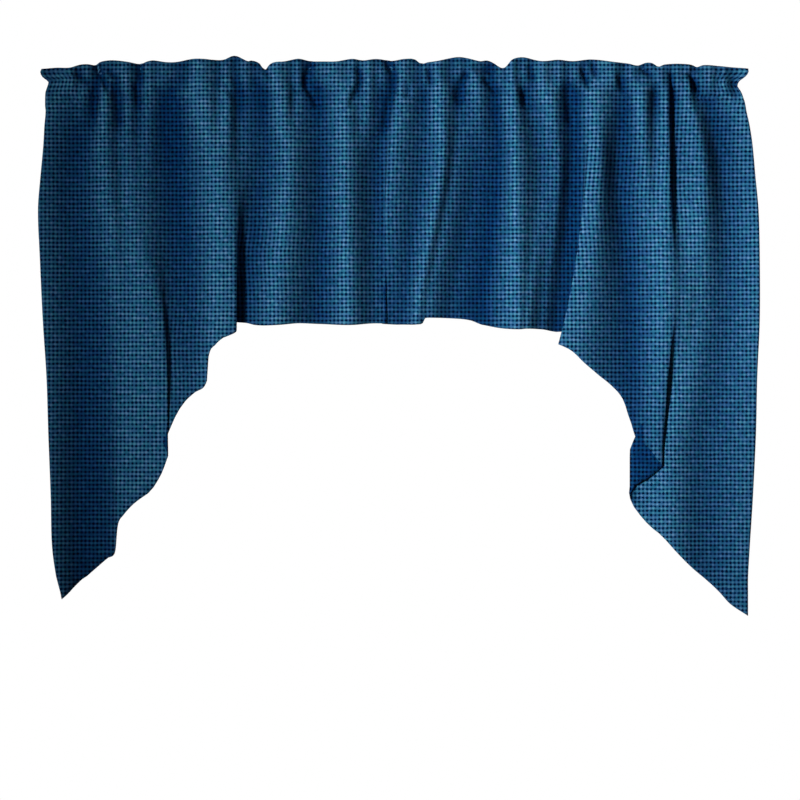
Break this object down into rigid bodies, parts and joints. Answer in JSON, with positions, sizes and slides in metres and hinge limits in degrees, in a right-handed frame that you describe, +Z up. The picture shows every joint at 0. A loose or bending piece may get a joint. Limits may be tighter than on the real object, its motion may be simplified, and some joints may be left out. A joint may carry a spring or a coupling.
{
  "type": "swag valance",
  "caption": "Arch-cut window valance in coarse woven cloth, gathered on a rod pocket with a small ruffle above; a long pointed tail hangs in uneven folds at each side.",
  "frame": {"origin": "middle of the rod pocket's axis, where the hanging rod would pass", "axes": "+X right along the rod pocket, -Y the front of the cloth, +Z up"},
  "size_m": [1.1852, 0.0379, 0.9165],
  "materials": {
    "cloth": "coarse basket weave, matt"
  },
  "bodies": {
    "root": {"panel": "cloth", "heading": "cloth"}
  },
  "joints": []
}
